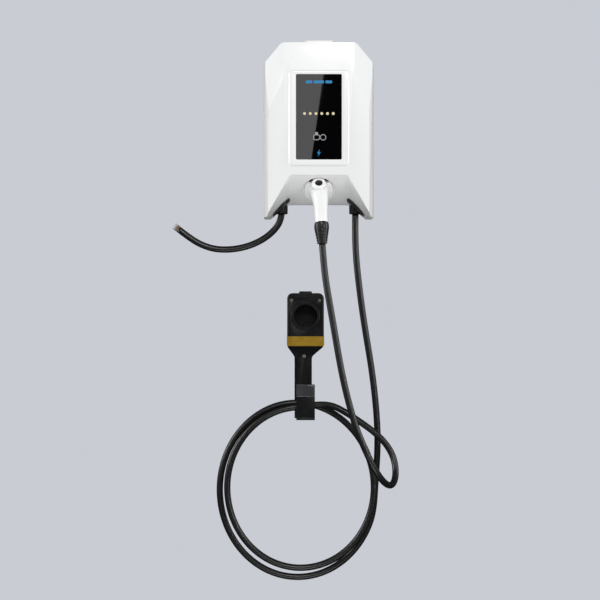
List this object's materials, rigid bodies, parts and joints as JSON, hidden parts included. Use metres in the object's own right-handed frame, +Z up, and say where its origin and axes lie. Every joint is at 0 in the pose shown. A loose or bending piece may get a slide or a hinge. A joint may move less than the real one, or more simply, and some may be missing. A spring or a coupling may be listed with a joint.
{
  "type": "wall electric vehicle charger",
  "caption": "Wall-mounted car charger with a docked charging gun, and a separate wall holder whose hook carries the coiled charging cable.",
  "frame": {"origin": "centre of the wallbox's wall-screw pattern, on the wall plane", "axes": "+Z up along the wall, +Y into the wall, +X to the right seen from the front"},
  "size_m": [0.4896, 0.2123, 1.1635],
  "materials": {
    "housing_white": "satin moulded white",
    "gun_white": "smooth moulded white",
    "black_rubber": "soft matt",
    "zinc_steel": "zinc plated",
    "black_plastic": "fine moulded grain",
    "display_glass": "polished black acrylic",
    "blue_mark": "back-lit print",
    "amber_mark": "back-lit print",
    "white_mark": "back-lit print",
    "circuit_board": "solder mask",
    "copper_coil": "bare copper",
    "grey_plastic": "moulded",
    "contact_silver": "silver plated",
    "gold_label": "printed metal foil",
    "brass_screw": "passivated",
    "hook_grey": "polished",
    "cable_black": "extruded sheath, satin",
    "core_plastic": "insulation"
  },
  "bodies": {
    "root": {"board_standoffs": "black_plastic", "bottom_panel": "housing_white", "cable_hook": "black_plastic", "card_antenna": "copper_coil", "charging_cable_coil": "cable_black", "charging_cable_end": "cable_black", "charging_cable_lead": "cable_black", "control_board": "circuit_board", "cover_screws": "zinc_steel", "display_board": "circuit_board", "display_window": "display_glass", "front_cover": "housing_white", "gland_locknuts": "black_plastic", "holder_body": "black_plastic", "holder_label": "gold_label", "holder_screws": "brass_screw", "holster_back": "black_plastic", "holster_boss": "housing_white", "holster_liner": "black_plastic", "hook_screws": "zinc_steel", "hook_tip": "hook_grey", "housing_screws": "zinc_steel", "housing_seal": "black_rubber", "housing_spacers": "black_plastic", "leakage_sensor": "black_plastic", "neck_screw": "zinc_steel", "output_gland": "black_plastic", "output_gland_nut": "black_plastic", "output_gland_seat": "black_rubber", "parking_socket": "black_plastic", "plug_icon": "white_mark", "power_icon": "blue_mark", "power_relay": "black_plastic", "rear_housing": "housing_white", "status_lights": "amber_mark", "status_strip": "blue_mark", "supply_cable": "cable_black", "supply_cores": "core_plastic", "supply_ferrules": "zinc_steel", "supply_gland": "black_plastic", "supply_gland_nut": "black_plastic", "supply_gland_seat": "black_rubber", "terminal_block": "grey_plastic", "wall_bracket": "zinc_steel", "wall_screws": "zinc_steel"},
    "gun": {"gun_collar": "gun_white", "gun_shell_left": "gun_white", "gun_shell_right": "gun_white", "gun_barrel": "black_plastic", "gun_insert": "black_plastic", "gun_contacts": "contact_silver", "gun_latch_pin": "zinc_steel", "gun_screws": "zinc_steel", "gun_boot": "black_rubber", "gun_cable_clamp": "black_plastic"},
    "button": {"gun_button": "black_rubber"},
    "latch": {"gun_latch": "black_plastic"}
  },
  "joints": [
    {"name": "gun_unplug", "type": "slide", "parent": "root", "child": "gun", "axis": [0, -0.766, -0.6428], "range_m": [0, 0.07], "deforming": ["charging_cable_end"]},
    {"name": "button_press", "type": "slide", "parent": "gun", "child": "button", "axis": [0, 0.8192, -0.5736], "range_m": [0, 0.003], "stiffness_N_per_m": 900, "springref_m": -0.0005},
    {"name": "latch_lift", "type": "hinge", "parent": "gun", "child": "latch", "pos_m": [0, -0.10175, -0.10429], "axis": [1, 0, 0], "range_deg": [0, 6.5]}
  ],
  "couplings": [
    {"joint": "latch_lift", "follows": "button_press", "rad_per_m": 37.234}
  ]
}
